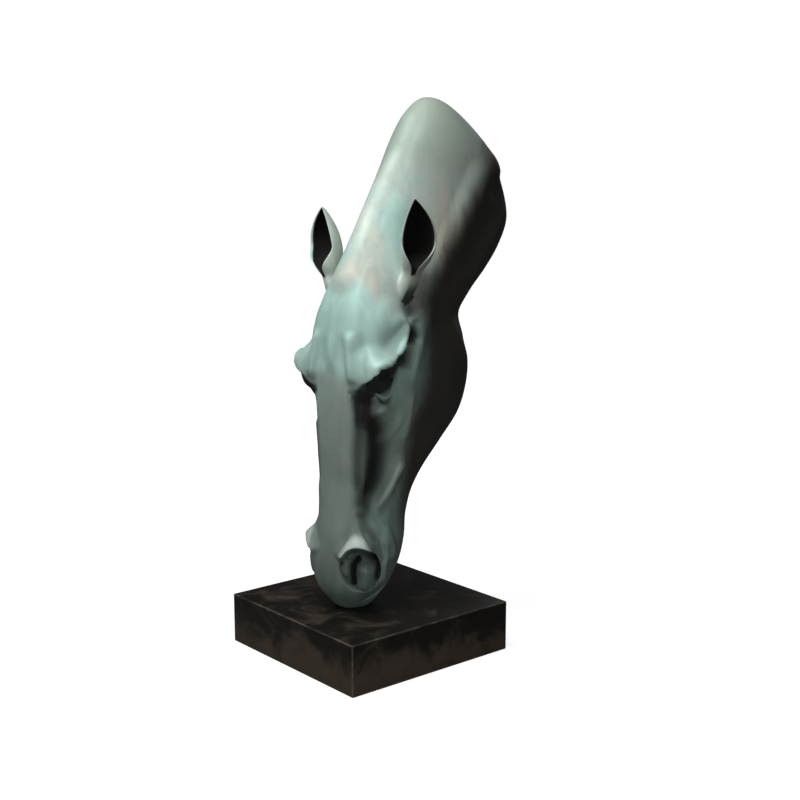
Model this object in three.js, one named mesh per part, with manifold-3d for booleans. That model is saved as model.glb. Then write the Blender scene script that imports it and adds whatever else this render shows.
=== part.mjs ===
// A cast bronze horse's head that stands on its lips on a square plinth.
// Millimetres, +Z up, the origin at the centre of the plinth's underside, the face towards -Y.
import * as THREE from "three";
import Module from "manifold-3d";

const wasm = await Module();
wasm.setup();

// Driving sizes
const plinthSide = 360;
const plinthHeight = 92;
const plinthChamfer = 3;
const headLength = 630; // from the lips to the poll, as on a living horse
const headTurn = 6; // degrees that the head is turned on its plinth, towards its own left
const lipsForward = 46; // how far the lips stand in front of the plinth's centre
const lipsAside = 8; // and how far to the horse's left of it
const earWall = 6; // thickness of the ear's shell

// The carving below is written in millimetres on a head 630 mm long, and follows headLength.
const grow = headLength / 630;

// How finely the head is faceted, and how many of its rings lie below the poll
const ringCount = 88;
const faceRings = 0.7;
const segmentCount = 48;
const earRings = 15;
const earArc = 9; // facets across the ear's shell, inside and outside

// One section of the head: where it meets the face line and the throat line in the middle plane,
// its half width at the face and at the throat, and how square its two halves are.
const section = (frontY, frontZ, backY, backZ, frontHalf, backHalf, frontPower = 2.2, backPower = 2.2) => [
  frontY, frontZ, backY, backZ, frontHalf, backHalf, frontPower, backPower,
];

// From the lips, up the face and the jaw, past the poll to the cut end of the neck
const sections = [
  section(-12, -8, 32, -8, 16, 16, 2.0, 2.2),
  section(-38, 10, 50, 10, 38, 32, 2.0, 2.2),
  section(-60, 42, 68, 40, 71, 54, 2.0, 2.2),
  section(-66, 86, 88, 80, 79, 69, 2.0, 2.3),
  section(-60, 130, 104, 120, 75, 67, 2.1, 2.4),
  section(-51, 180, 116, 168, 66, 58, 2.7, 2.5),
  section(-46, 240, 149, 226, 66, 57, 3.6, 2.6),
  section(-46, 300, 207, 284, 72, 64, 4.0, 2.7),
  section(-46, 350, 248, 330, 80, 76, 4.0, 2.7),
  section(-47, 400, 266, 376, 90, 86, 3.8, 2.6),
  section(-48, 450, 270, 424, 97, 90, 3.4, 2.6),
  section(-46, 500, 259, 474, 97, 92, 3.0, 2.5),
  section(-38, 548, 247, 518, 89, 90, 2.5, 2.4),
  section(-18, 596, 276, 556, 82, 95, 2.2, 2.3),
  section(8, 644, 318, 594, 76, 99, 2.1, 2.3),
  section(36, 692, 354, 636, 73, 103, 2.1, 2.3),
  section(65, 740, 375, 682, 72, 105, 2.1, 2.3),
  section(95, 788, 363, 730, 71, 104, 2.1, 2.3),
  section(125, 836, 340, 774, 68, 100, 2.2, 2.3),
  section(154, 880, 326, 800, 58, 86, 2.2, 2.3),
  section(188, 907, 314, 816, 44, 62, 2.2, 2.3),
  section(222, 904, 288, 850, 25, 28),
  section(248, 894, 264, 878, 9, 9),
];

// A smooth value between the sections, by a Catmull-Rom curve through each column
function sectionAt(t) {
  const last = sections.length - 1;
  const place = Math.min(Math.max(t, 0), 1) * last;
  const i = Math.min(Math.floor(place), last - 1);
  const f = place - i;
  const [a, b, c, d] = [i - 1, i, i + 1, i + 2].map((k) => sections[Math.min(Math.max(k, 0), last)]);
  return b.map(
    (_, k) =>
      b[k] + 0.5 * f * (c[k] - a[k] + f * (2 * a[k] - 5 * b[k] + 4 * c[k] - d[k] + f * (3 * (b[k] - c[k]) + d[k] - a[k]))),
  );
}

// The plain block of the head: t runs from the lips to the cut, turn runs round from the face line
function blockPoint(t, turn) {
  const [frontY, frontZ, backY, backZ, frontHalf, backHalf, frontPower, backPower] = sectionAt(t);
  const along = Math.cos(turn);
  const across = Math.sin(turn);
  const power = along > 0 ? frontPower : backPower;
  const reach = (Math.abs(along) ** power + Math.abs(across) ** power) ** (-1 / power);
  const depth = 0.5 - 0.5 * along * reach;
  const half = frontHalf + (backHalf - frontHalf) * depth;
  return new THREE.Vector3(
    half * across * reach,
    frontY + (backY - frontY) * depth,
    frontZ + (backZ - frontZ) * depth,
  );
}

// A stroke of the modeller's thumb: clay within reach of a line is moved by push, most at the line.
const stroke = (from, to, reach, push) => ({ from, to, reach, push });
const dab = (at, reach, push) => stroke(at, at, reach, push);

// Strokes on the horse's left, which are repeated on its right
const pairedStrokes = [
  // brow and eye
  dab([90, -34, 434], 58, [46, -12, 0]),
  stroke([104, -2, 444], [104, 50, 490], 34, [16, 0, 2]),
  stroke([94, 66, 480], [84, 110, 540], 30, [6, 0, 0]),
  dab([90, 12, 528], 48, [7, -4, 0]),
  dab([116, 12, 394], 40, [-22, 6, -4]),
  dab([102, 0, 396], 22, [12, -4, 0]),
  // side of the face
  stroke([94, 48, 350], [70, 66, 240], 28, [10, 0, 0]),
  stroke([84, 6, 340], [62, 4, 190], 36, [-12, 2, 0]),
  stroke([84, 112, 330], [66, 92, 210], 52, [-7, 0, 0]),
  dab([90, 150, 410], 110, [8, 0, 0]),
  stroke([84, 214, 520], [80, 250, 470], 40, [-8, 0, 0]),
  // nostril
  dab([76, -36, 132], 44, [7, -4, 2]),
  stroke([64, -46, 104], [78, -12, 60], 46, [10, -8, 0]),
  // neck: the edge of its side, and the fall behind it
  stroke([89, 243, 761], [86, 165, 639], 42, [7, -4, 0]),
  stroke([84, 300, 730], [86, 222, 620], 44, [-9, 0, 0]),
  dab([82, 288, 780], 46, [4, 6, 3]),
  dab([84, 306, 744], 36, [-3, -8, 0]),
  // lips
  stroke([48, -14, 16], [64, 34, 44], 11, [-6, 0, 0]),
  // root of the ear
  dab([88, 70, 588], 38, [8, -2, 0]),
  // the fold behind the brow's arch, the muscle down to the nostril, and the rim beside it
  stroke([107, 66, 512], [94, 44, 448], 30, [-13, 3, 0]),
  stroke([72, 60, 280], [60, 14, 180], 34, [7, -4, 0]),
  stroke([72, 24, 140], [72, 26, 84], 30, [4, 1, 0]),
];

// Strokes on the middle plane
const middleStrokes = [
  stroke([0, 268, 440], [0, 128, 220], 36, [0, -22, 0]),
  dab([0, 74, 56], 34, [0, 12, -2]),
  dab([0, 92, 104], 34, [0, -8, 0]),
  stroke([0, -30, 600], [0, 130, 880], 40, [0, -6, 3]),
];

const vector = (list) => new THREE.Vector3(...list);
const mirrored = (list) => [-list[0], list[1], list[2]];
const strokes = [
  ...pairedStrokes,
  ...pairedStrokes.map((s) => stroke(mirrored(s.from), mirrored(s.to), s.reach, mirrored(s.push))),
  ...middleStrokes,
].map((s) => ({ ...s, line: new THREE.Line3(vector(s.from), vector(s.to)), push: vector(s.push) }));

function carved(point) {
  const nearest = new THREE.Vector3();
  for (const { line, reach, push } of strokes) {
    line.closestPointToPoint(point, true, nearest);
    const far = nearest.distanceTo(point) / reach;
    if (far < 1) point.addScaledVector(push, (1 - far * far) ** 2);
  }
  return point;
}

const smooth = (from, to, value) => THREE.MathUtils.smoothstep(value, from, to);

// The eye: under the brow's arch the surface is taken back to the socket's floor, and the eye swells from that.
const archEdge = [[-60, 404], [-45, 419], [-41, 436], [-32, 447], [-8, 453], [12, 460], [29, 479], [47, 504]];
const socketFloor = 82;
const socketHeight = 60;
const eyeCentre = new THREE.Vector3(50, 1, 411);
const eyeRadius = 41.5;

function archHeight(y) {
  const after = archEdge.findIndex(([place]) => place > y);
  if (after <= 0) return archEdge.at(after)[1];
  const [[y0, z0], [y1, z1]] = archEdge.slice(after - 1, after + 1);
  return z0 + ((z1 - z0) * (y - y0)) / (y1 - y0);
}

function withSocket(point) {
  const side = Math.sign(point.x);
  const out = Math.abs(point.x);
  const below = archHeight(point.y) - point.z;
  const share = smooth(-6, 14, below) * (1 - smooth(0.6, 1, below / socketHeight)) * (1 - smooth(40, 70, point.y));
  const planed = out - share * Math.max(out - socketFloor, 0);
  const offset = new THREE.Vector2(point.y - eyeCentre.y, point.z - eyeCentre.z).length();
  const eye = offset < eyeRadius && out > 30 ? eyeCentre.x + Math.sqrt(eyeRadius ** 2 - offset ** 2) : 0;
  point.x = side * Math.max(planed, eye);
  return point;
}

// The nostril, as it is seen along its hole, across and up: an oval that goes in, and a wing that comes out above.
const holeMiddle = [17, 86];
const holeHalves = [38, 44];
const holeDepth = 13;
const wingTop = [11, 174];
const wingSize = [30, 54];
const wingDepth = 9;
const nostrilSides = [
  { side: 1, shift: 0, wingShare: 1 },
  { side: -1, shift: 9, wingShare: 0.4 },
];

function withNostrils(point) {
  for (const { side, shift, wingShare } of nostrilSides) {
    const inward = new THREE.Vector3(-0.68 * side, 0.71, -0.12);
    const across = 0.719 * side * point.x + 0.695 * point.y - shift;
    if (point.dot(inward) > -28 || point.z > 190 || across < -40) continue;
    const out = Math.hypot((across - holeMiddle[0]) / holeHalves[0], (point.z - holeMiddle[1]) / holeHalves[1]);
    const mouth = 1 - smooth(0.65, 1.15, out);
    const down = (wingTop[1] - point.z) / wingSize[1];
    const edge = Math.abs(across - wingTop[0]) / (wingSize[0] * Math.max(down, 0.05));
    const wing = down > 0 && down < 1.2 ? Math.min(down, 1) * (1 - smooth(0.3, 1.2, edge)) : 0;
    point.addScaledVector(inward, mouth * holeDepth - (1 - mouth) * wing * wingDepth * wingShare);
  }
  return point;
}

// A closed skin over rings of points, with a pole at either end
function skin(rings, lowPole, highPole) {
  const round = rings[0].length;
  const points = [...rings.flat(), lowPole, highPole];
  const index = [];
  for (let i = 0; i < rings.length - 1; i++) {
    for (let j = 0; j < round; j++) {
      const [a, b] = [i * round + j, i * round + ((j + 1) % round)];
      const [c, d] = [a + round, b + round];
      index.push(a, b, d, a, d, c);
    }
  }
  const low = points.length - 2;
  const top = (rings.length - 1) * round;
  for (let j = 0; j < round; j++) {
    index.push(low, (j + 1) % round, j);
    index.push(low + 1, top + j, top + ((j + 1) % round));
  }
  const geometry = new THREE.BufferGeometry().setFromPoints(points);
  geometry.setIndex(index);
  return geometry;
}

function headGeometry() {
  const finish = (p) => {
    withNostrils(withSocket(carved(p)));
    p.z = Math.max(p.z, 0); // the lips are flat where they stand
    return p.multiplyScalar(grow);
  };
  const faceShare = 0.6; // of the block's length
  const rings = [];
  for (let i = 0; i < ringCount; i++) {
    const low = (i + 0.5) / ringCount;
    const high = (low - faceRings) / (1 - faceRings);
    const t = low < faceRings ? (low / faceRings) * faceShare : faceShare + high * (1 - faceShare);
    const ring = [];
    for (let j = 0; j < segmentCount; j++) {
      ring.push(finish(blockPoint(t, (2 * Math.PI * (j + 0.5)) / segmentCount)));
    }
    rings.push(ring);
  }
  const middle = (t) => blockPoint(t, 0).lerp(blockPoint(t, Math.PI), 0.5);
  return skin(rings, finish(middle(0)), finish(middle(1)));
}

// An ear: a leaf rolled round its own upright axis, which runs through foot, waist and tip.
// facing is where it opens, in degrees from straight ahead towards the horse's left.
const ears = [
  { foot: [54, 58, 540], waist: [124, 70, 638], tip: [112, 46, 734], facing: 50, spread: 22, depth: 19 },
  { foot: [-56, 38, 530], waist: [-128, 48, 622], tip: [-117, 44, 714], facing: -3, spread: 22, depth: 25 },
];
const earTrunk = 16; // radius of the stalk under the opening
const earMouth = 0.33; // where on the ear the opening starts

function earGeometry({ foot, waist, tip, facing, spread, depth }) {
  const axis = new THREE.QuadraticBezierCurve3(vector(foot), vector(waist), vector(tip));
  const angle = THREE.MathUtils.degToRad(facing);
  const back = new THREE.Vector3(-Math.sin(angle), Math.cos(angle), 0);
  const side = new THREE.Vector3(0, 0, 1).cross(back);
  const ringAt = (s) => {
    const open = Math.max(0, (s - earMouth) / (1 - earMouth));
    const below = 1 - Math.min(1, s / earMouth);
    const wide = earTrunk * (1 - open) + 4 * spread * open * (1 - open) + 4 * below;
    const deep = earTrunk * (1 - open) + 4 * depth * open * (1 - open) + 3 * open + 4 * below;
    const rim = Math.PI * (0.93 - 0.37 * smooth(0, 0.45, open));
    const hollow = smooth(0, 0.3, open);
    const wall = earWall * (1 - 0.6 * open);
    const centre = axis.getPoint(s);
    const place = (a, b) => centre.clone().addScaledVector(side, a).addScaledVector(back, b);
    const ring = [];
    for (let k = 0; k <= earArc; k++) {
      const turn = rim * ((2 * k) / earArc - 1);
      ring.push(place(wide * Math.sin(turn), deep * Math.cos(turn)));
    }
    for (let k = 0; k < earArc; k++) {
      const q = (k + 0.5) / earArc;
      const shut = rim + 2 * (Math.PI - rim) * q;
      const cup = rim * (1 - 2 * q);
      ring.push(
        place(wide * Math.sin(shut), deep * Math.cos(shut)).lerp(
          place((wide - wall) * Math.sin(cup), (deep - wall) * Math.cos(cup)),
          hollow,
        ),
      );
    }
    return ring.map((p) => p.multiplyScalar(grow));
  };
  const rings = [];
  for (let i = 0; i < earRings; i++) rings.push(ringAt((i + 0.3) / earRings));
  return skin(rings, axis.getPoint(0).multiplyScalar(grow), axis.getPoint(1).multiplyScalar(grow));
}

const solid = (geometry) =>
  new wasm.Manifold(
    new wasm.Mesh({
      numProp: 3,
      vertProperties: new Float32Array(geometry.attributes.position.array),
      triVerts: new Uint32Array(geometry.index.array),
    }),
  );

function joined(geometries) {
  const mesh = wasm.Manifold.union(geometries.map(solid)).getMesh();
  const geometry = new THREE.BufferGeometry();
  geometry.setAttribute("position", new THREE.BufferAttribute(new Float32Array(mesh.vertProperties), mesh.numProp));
  geometry.setIndex(new THREE.BufferAttribute(new Uint32Array(mesh.triVerts), 1));
  return geometry;
}

// The plinth: a square block with its edges taken off
function plinthGeometry() {
  const half = plinthSide / 2 - plinthChamfer;
  const square = new THREE.Shape([
    new THREE.Vector2(-half, -half),
    new THREE.Vector2(half, -half),
    new THREE.Vector2(half, half),
    new THREE.Vector2(-half, half),
  ]);
  return new THREE.ExtrudeGeometry(square, {
    depth: plinthHeight - 2 * plinthChamfer,
    bevelThickness: plinthChamfer,
    bevelSize: plinthChamfer,
    bevelSegments: 1,
  });
}

const bronze = new THREE.MeshStandardMaterial({ color: 0x6f8a80, roughness: 0.45, metalness: 0.6 });
const darkStone = new THREE.MeshStandardMaterial({ color: 0x1c1712, roughness: 0.4, metalness: 0 });

const part = new THREE.Group();
const head = new THREE.Mesh(joined([headGeometry(), ...ears.map(earGeometry)]), bronze);
head.name = "horse_head";
head.position.set(lipsAside, -lipsForward, plinthHeight);
head.rotation.z = THREE.MathUtils.degToRad(headTurn);
part.add(head);

const plinth = new THREE.Mesh(plinthGeometry(), darkStone);
plinth.name = "plinth";
plinth.position.z = plinthChamfer;
part.add(plinth);

export default part;
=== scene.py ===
# %% [markdown]
# A cast bronze horse's head stands on its lips on a square block of dark stone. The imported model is
# loaded first, as a fixed frame. Everything that follows is in metres in that frame, so a finer head and
# a finer plinth go exactly where the plain ones stand.

# %% Load the frame
import math

import bmesh
import bpy
import numpy as np
from mathutils import Matrix, Vector
from mathutils.kdtree import KDTree


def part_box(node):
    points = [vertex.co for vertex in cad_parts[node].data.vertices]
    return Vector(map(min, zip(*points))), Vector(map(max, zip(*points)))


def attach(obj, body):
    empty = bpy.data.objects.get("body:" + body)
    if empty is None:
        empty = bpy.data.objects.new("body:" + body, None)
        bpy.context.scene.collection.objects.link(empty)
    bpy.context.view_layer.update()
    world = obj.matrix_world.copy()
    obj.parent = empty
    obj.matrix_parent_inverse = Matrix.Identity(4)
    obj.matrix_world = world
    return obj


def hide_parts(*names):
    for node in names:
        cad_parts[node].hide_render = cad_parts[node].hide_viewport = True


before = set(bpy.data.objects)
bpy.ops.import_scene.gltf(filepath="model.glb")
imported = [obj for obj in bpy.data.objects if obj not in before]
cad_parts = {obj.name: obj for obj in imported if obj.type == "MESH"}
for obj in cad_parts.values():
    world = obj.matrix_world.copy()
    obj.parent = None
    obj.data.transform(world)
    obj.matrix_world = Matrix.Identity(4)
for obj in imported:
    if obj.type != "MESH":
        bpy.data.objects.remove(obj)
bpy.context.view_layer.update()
MM = 0.001

# %% [markdown]
# The camera comes first, because the carving is judged through it. The head is seen from its front left
# and a little from above, at about seven times its width.

# %% Camera
CAMERA_PLACE = Vector((1839.4, -1473.6, 886.9)) * MM
CAMERA_AIM = Vector((37.1, 44.06, 462.96)) * MM
CAMERA_LENS = 59.8

camera = bpy.data.objects.new("camera", bpy.data.cameras.new("camera"))
bpy.context.scene.collection.objects.link(camera)
camera.data.lens = CAMERA_LENS
camera.location = CAMERA_PLACE
camera.rotation_euler = (CAMERA_AIM - CAMERA_PLACE).to_track_quat("-Z", "Y").to_euler()
bpy.context.scene.camera = camera
print("camera", round((CAMERA_PLACE - CAMERA_AIM).length, 3), "m away")

# %% [markdown]
# A modeller blocks a head out before carving it. Here the block is a loft: sections from the lips, up the
# face and jaw, past the poll to the cut end of the neck. Each one says where it meets the face line and
# the throat line in the middle plane, its half width at the face and at the throat, and how square both
# halves are. They are written in millimetres, in the head's own frame: +Z up, the face towards -Y, the
# lips at the origin.

# %% Sections of the block
SECTIONS = np.array([
    (-12, -8, 32, -8, 16, 16, 2.0, 2.2),
    (-38, 10, 50, 10, 38, 32, 2.0, 2.2),
    (-60, 42, 68, 40, 71, 54, 2.0, 2.2),
    (-66, 86, 88, 80, 79, 69, 2.0, 2.3),
    (-60, 130, 104, 120, 75, 67, 2.1, 2.4),
    (-51, 180, 116, 168, 66, 58, 2.7, 2.5),
    (-46, 240, 149, 226, 66, 57, 3.6, 2.6),
    (-46, 300, 207, 284, 72, 64, 4.0, 2.7),
    (-46, 350, 248, 330, 80, 76, 4.0, 2.7),
    (-47, 400, 266, 376, 90, 86, 3.8, 2.6),
    (-48, 450, 270, 424, 97, 90, 3.4, 2.6),
    (-46, 500, 259, 474, 97, 92, 3.0, 2.5),
    (-38, 548, 247, 518, 89, 90, 2.5, 2.4),
    (-18, 596, 276, 556, 82, 95, 2.2, 2.3),
    (8, 644, 318, 594, 76, 99, 2.1, 2.3),
    (36, 692, 354, 636, 73, 103, 2.1, 2.3),
    (65, 740, 375, 682, 72, 105, 2.1, 2.3),
    (95, 788, 363, 730, 71, 104, 2.1, 2.3),
    (125, 836, 340, 774, 68, 100, 2.2, 2.3),
    (154, 880, 326, 800, 58, 86, 2.2, 2.3),
    (188, 907, 314, 816, 44, 62, 2.2, 2.3),
    (222, 904, 288, 850, 25, 28, 2.2, 2.2),
    (248, 894, 264, 878, 9, 9, 2.2, 2.2),
])


def section_at(t):
    """The sections at t, from 0 at the lips to 1 at the cut, along a smooth curve through each column."""
    last = len(SECTIONS) - 1
    place = np.clip(t, 0, 1) * last
    i = np.minimum(place.astype(int), last - 1)
    f = (place - i)[:, None]
    a, b, c, d = (SECTIONS[np.clip(i + k, 0, last)] for k in (-1, 0, 1, 2))
    return b + 0.5 * f * (c - a + f * (2 * a - 5 * b + 4 * c - d + f * (3 * (b - c) + d - a)))


def block_points(t, turn):
    """Points of the block, where turn runs round from the middle of the face."""
    front_y, front_z, back_y, back_z, front_half, back_half, front_power, back_power = section_at(t).T
    along = np.cos(turn)
    across = np.sin(turn)
    power = np.where(along > 0, front_power, back_power)
    reach = (np.abs(along) ** power + np.abs(across) ** power) ** (-1 / power)
    depth = 0.5 - 0.5 * along * reach
    half = front_half + (back_half - front_half) * depth
    return np.stack([
        half * across * reach,
        front_y + (back_y - front_y) * depth,
        front_z + (back_z - front_z) * depth,
    ], axis=1)


print("block", len(SECTIONS), "sections")

# %% [markdown]
# The carving is done as in clay, with strokes. A stroke is a line on the surface, how far it reaches to
# either side, and a push. Clay on the line moves by the whole push, and less and less towards the reach.
# The broad strokes below are the big forms, and the horse's left is repeated on its right.

# %% Broad strokes
PAIRED_STROKES = [
    # brow and eye
    ([(90, -34, 434)], 58, (46, -12, 0)),
    ([(104, -2, 444), (104, 50, 490)], 34, (16, 0, 2)),
    ([(94, 66, 480), (84, 110, 540)], 30, (6, 0, 0)),
    ([(90, 12, 528)], 48, (7, -4, 0)),
    ([(116, 12, 394)], 40, (-22, 6, -4)),
    ([(102, 0, 396)], 22, (12, -4, 0)),
    # side of the face
    ([(94, 48, 350), (70, 66, 240)], 28, (10, 0, 0)),
    ([(84, 6, 340), (62, 4, 190)], 36, (-12, 2, 0)),
    ([(84, 112, 330), (66, 92, 210)], 52, (-7, 0, 0)),
    ([(90, 150, 410)], 110, (8, 0, 0)),
    ([(84, 214, 520), (80, 250, 470)], 40, (-8, 0, 0)),
    # nostril
    ([(76, -36, 132)], 44, (7, -4, 2)),
    ([(64, -46, 104), (78, -12, 60)], 46, (10, -8, 0)),
    # neck: the edge of its side, and the fall behind it
    ([(89, 243, 761), (88, 204, 695), (86, 165, 639), (87, 128, 596)], 42, (7, -4, 0)),
    ([(84, 300, 730), (88, 262, 676), (86, 222, 620)], 44, (-9, 0, 0)),
    ([(82, 288, 780)], 46, (4, 6, 3)),
    ([(84, 306, 744)], 36, (-3, -8, 0)),
    # lips
    ([(48, -14, 16), (64, 34, 44)], 11, (-6, 0, 0)),
    # root of the ear
    ([(88, 70, 588)], 38, (8, -2, 0)),
]
MIDDLE_STROKES = [
    ([(0, 268, 440), (0, 128, 220)], 36, (0, -22, 0)),
    ([(0, 74, 56)], 34, (0, 12, -2)),
    ([(0, 92, 104)], 34, (0, -8, 0)),
    ([(0, -30, 600), (0, 130, 880)], 40, (0, -6, 3)),
]
LEFT_AND_RIGHT = (np.array((1.0, 1.0, 1.0)), np.array((-1.0, 1.0, 1.0)))


def distance_to(line, points):
    """How far the points are from a line of one or more places."""
    places = [np.array(place, float) for place in line]
    best = np.linalg.norm(points - places[0], axis=1)
    for start, end in zip(places, places[1:]):
        run = end - start
        share = np.clip((points - start) @ run / (run @ run), 0, 1)
        best = np.minimum(best, np.linalg.norm(points - start - share[:, None] * run, axis=1))
    return best


def push_by(points, line, reach, push, side):
    """Moves the points by one stroke on one side of the head. They change for the next stroke."""
    far = distance_to([np.array(place) * side for place in line], points) / reach
    near = far < 1
    points[near] += (1 - far[near] ** 2)[:, None] ** 2 * np.array(push) * side


def rough_head(t, turn):
    """The block with its broad strokes."""
    points = block_points(t, turn)
    for side in LEFT_AND_RIGHT:
        for line, reach, push in PAIRED_STROKES:
            push_by(points, line, reach, push, side)
    for line, reach, push in MIDDLE_STROKES:
        push_by(points, line, reach, push, LEFT_AND_RIGHT[0])
    return points


print("broad strokes", len(PAIRED_STROKES), "pairs and", len(MIDDLE_STROKES), "in the middle")

# %% [markdown]
# The head's mesh starts as a sphere of fine rings, from bmesh's own operator. Every vertex of the sphere
# has a height and a turn, and these say where on the block it goes, so the sphere's even net becomes the
# head's. The rings are closer on the face than on the neck, and closer at the front than at the back.
# Where the eyes, the arches' ends and the nostrils come, subdivide_edges makes the net finer before
# anything is moved.

# %% The head's net
RINGS = 266
SEGMENTS = 208
FACE_RINGS = 0.70  # share of the rings that lies below the ears
FACE_SHARE = 0.60  # share of the block's length that they cover
FRONT_CROWD = 0.3
EYE = np.array((94.0, -4.0, 410.0))
NOSTRIL = np.array((66.0, -32.0, 92.0))
ARCH_END = np.array((105.0, 36.0, 488.0))


def net_places(bm):
    """The height t and the turn of every vertex of the sphere."""
    co = np.array([v.co.normalized() for v in bm.verts])
    low = np.arccos(np.clip(-co[:, 2], -1, 1)) / math.pi
    t = np.interp(low, (0, FACE_RINGS, 1), (0, FACE_SHARE, 1))
    turn = np.arctan2(co[:, 0], -co[:, 1])
    turn = turn - FRONT_CROWD * np.sin(turn)
    return t, turn


def head_places(bm):
    """Where every vertex lies on the rough head. The poles go to the middle of their sections."""
    t, turn = net_places(bm)
    points = rough_head(t, turn)
    for pole in (0.0, 1.0):
        ends = np.isclose(t, pole)
        face = block_points(np.array([pole]), np.array([0.0]))
        throat = block_points(np.array([pole]), np.array([math.pi]))
        points[ends] = 0.5 * (face + throat)
    return points


def make_finer(bm, centre, reach):
    """Cuts every edge in two that lies within reach of a place, on both sides of the head."""
    points = head_places(bm)
    near = np.zeros(len(points), bool)
    for side in LEFT_AND_RIGHT:
        near |= np.linalg.norm(points - centre * side, axis=1) < reach
    bm.verts.index_update()
    edges = [e for e in bm.edges if near[e.verts[0].index] and near[e.verts[1].index]]
    bmesh.ops.subdivide_edges(bm, edges=edges, cuts=1, use_grid_fill=True)


head_bm = bmesh.new()
bmesh.ops.create_uvsphere(head_bm, u_segments=SEGMENTS, v_segments=RINGS, radius=1)
FINER = ((EYE, 48), (EYE, 32), (ARCH_END, 30), (NOSTRIL, 54), (NOSTRIL, 40))  # centre and reach
for centre, reach in FINER:
    make_finer(head_bm, centre, reach)
print("head net", len(head_bm.verts), "vertices")

# %% [markdown]
# The finer carving follows: the bony arch over the eye, the folds of its lids, the crest along the cheek,
# the muscles that run down to the nostril, and the nostril's own folds. A fine stroke is pushed along the
# surface's normal, or in a direction of its own. It is round like a finger's mark, sharp like a tool's,
# or flat with steep sides, and it can die away towards its ends.

# %% Fine strokes
PROFILES = {
    "soft": lambda far: (1 - far ** 2) ** 2,
    "sharp": lambda far: (1 - far) ** 2,
    "flat": lambda far: 1 - smoothstep(0.55, 1.0, far),
}


def smoothstep(start, end, value):
    share = np.clip((value - start) / (end - start), 0, 1)
    return share * share * (3 - 2 * share)


def along_line(line, points):
    """How far the points are from a line, and where along it they are nearest, from 0 to 1."""
    places = [np.array(place, float) for place in line]
    steps = [np.linalg.norm(end - start) for start, end in zip(places, places[1:])]
    best = np.full(len(points), np.inf)
    where = np.zeros(len(points))
    passed = 0.0
    for start, end, step in zip(places, places[1:], steps):
        share = np.clip((points - start) @ (end - start) / step ** 2, 0, 1)
        far = np.linalg.norm(points - start - share[:, None] * (end - start), axis=1)
        nearer = far < best
        best[nearer] = far[nearer]
        where[nearer] = (passed + share[nearer] * step) / sum(steps)
        passed += step
    return best, where


def carve(points, normals, strokes):
    """The points moved by strokes on both sides of the head. What each stroke does is added to relief."""
    moved = points.copy()
    for line, reach, push, profile, taper in strokes:
        for side in LEFT_AND_RIGHT:
            places = [np.array(place) * side for place in line]
            low = np.min(places, axis=0) - reach
            high = np.max(places, axis=0) + reach
            near = np.flatnonzero(np.all((points > low) & (points < high), axis=1))
            far, where = along_line(places, points[near])
            near, far, where = near[far < reach], far[far < reach] / reach, where[far < reach]
            amount = PROFILES[profile](far)
            if taper:
                amount = amount * smoothstep(0, taper, where) * smoothstep(0, taper, 1 - where)
            direction = normals[near] * push if np.isscalar(push) else np.array(push) * side
            moved[near] += amount[:, None] * direction
    # painted shade and highlight: carved-in depth later darkens the patina, proud height makes it paler
    relief[:] += np.sum((moved - points) * normals, axis=1)
    return moved


def place_vertices(bm, points):
    """Puts the vertices at the points and returns their new normals."""
    for vertex, point in zip(bm.verts, points):
        vertex.co = point
    bm.normal_update()
    return np.array([v.normal for v in bm.verts])


points = head_places(head_bm)
normals = place_vertices(head_bm, points)
# relief also takes the painted shade marks below; the patina paints hollows darker and proud parts paler
relief = np.zeros(len(points))  # how far each vertex has been carved out, or in where it is negative
print("profiles", sorted(PROFILES))

# %% [markdown]
# The bony arch over the eye is what gives a horse's face its look. Its edge is crisp, and a deep fold
# lies under it. Above it the forehead has shallow ridges that fan out, and end in a step where the nose
# begins.

# %% Brow and forehead
BROW_STROKES = [
    # line, reach, push, profile, taper
    # the fold behind the arch, and the arch's edge
    ([(104, 74, 530), (110, 60, 506), (108, 50, 480), (98, 46, 456), (90, 42, 440)], 18, -17, "soft", 0.08),
    ([(98, 32, 522), (99, 38, 516)], 24, 5, "soft", 0),
    ([(84, 36, 536), (88, 40, 527), (98, 46, 515), (107, 46, 504), (106, 40, 493), (104, 31, 483),
      (104, 22, 471), (106, 16, 463), (113, -2, 461), (110, -19, 459), (106, -31, 454), (101, -38, 447),
      (94, -42, 437)],
     9, 4, "soft", 0.15),
    # the bone behind the fold
    ([(108, 84, 503), (104, 78, 481), (97, 72, 456), (92, 62, 430), (90, 64, 400)], 12, 5, "soft", 0.25),
    ([(114, 84, 520), (112, 74, 500)], 20, -7, "soft", 0),
    # the temple, a hollow behind the arch and under the ear
    ([(92, 60, 566), (96, 60, 548), (98, 70, 528)], 24, -10, "soft", 0.1),
    # ridges down the forehead
    ([(38, -40, 510), (44, -45, 465), (50, -46, 428), (56, -45, 411)], 16, 6, "soft", 0.2),
    ([(58, -36, 510), (68, -37, 470), (77, -43, 440), (80, -43, 415)], 12, -3.5, "soft", 0.3),
    ([(24, -44, 505), (24, -48, 465), (26, -48, 430)], 18, -2.5, "soft", 0.4),
    ([(4, -44, 505), (4, -47, 465), (4, -47, 425)], 12, 2.5, "soft", 0.4),
    # the step where the nose begins
    ([(36, -47, 398), (56, -46, 398), (76, -42, 399)], 9, -5, "soft", 0.25),
    ([(46, -46, 385), (68, -42, 385)], 24, -3.5, "soft", 0.1),
]
points = carve(points, normals, BROW_STROKES)
normals = place_vertices(head_bm, points)
print("brow and forehead", len(BROW_STROKES), "strokes")

# %% [markdown]
# Below the eye the face is bone and thin muscle. A crest runs from the cheek towards the nose, and from
# its end a long muscle goes down to the nostril, with a hollow to either side of it.

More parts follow.
